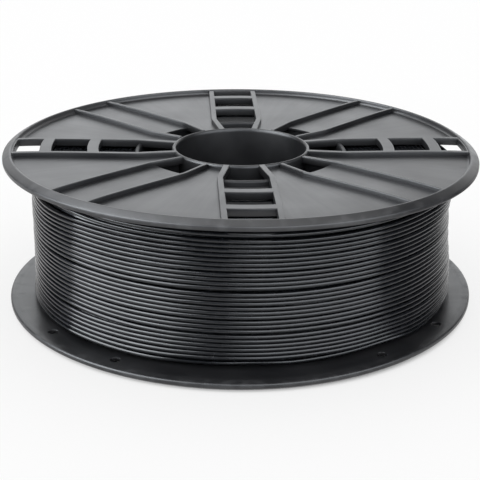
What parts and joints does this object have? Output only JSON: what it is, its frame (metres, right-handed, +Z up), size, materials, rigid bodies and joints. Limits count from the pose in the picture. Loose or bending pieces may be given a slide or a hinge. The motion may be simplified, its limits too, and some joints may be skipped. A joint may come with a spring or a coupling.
{
  "type": "filament spool",
  "caption": "Round spool of 3D printer filament: ribbed disc flanges with ladder-like openings, a hollow drum with an open bore, wound full of glossy dark filament.",
  "frame": {"origin": "on the bore's axis, on the plane that the lower flange's rim stands on", "axes": "+Z up along the bore's axis, X and Y along the ladder-shaped spokes"},
  "size_m": [0.2, 0.2, 0.067],
  "materials": {
    "spool_plastic": "satin moulded plastic",
    "filament": "glossy extruded filament"
  },
  "bodies": {
    "root": {"upper_flange": "spool_plastic", "lower_flange": "spool_plastic", "winding_drum": "spool_plastic", "filament_inner_layers": "filament", "filament_outer_layer": "filament"}
  },
  "joints": []
}
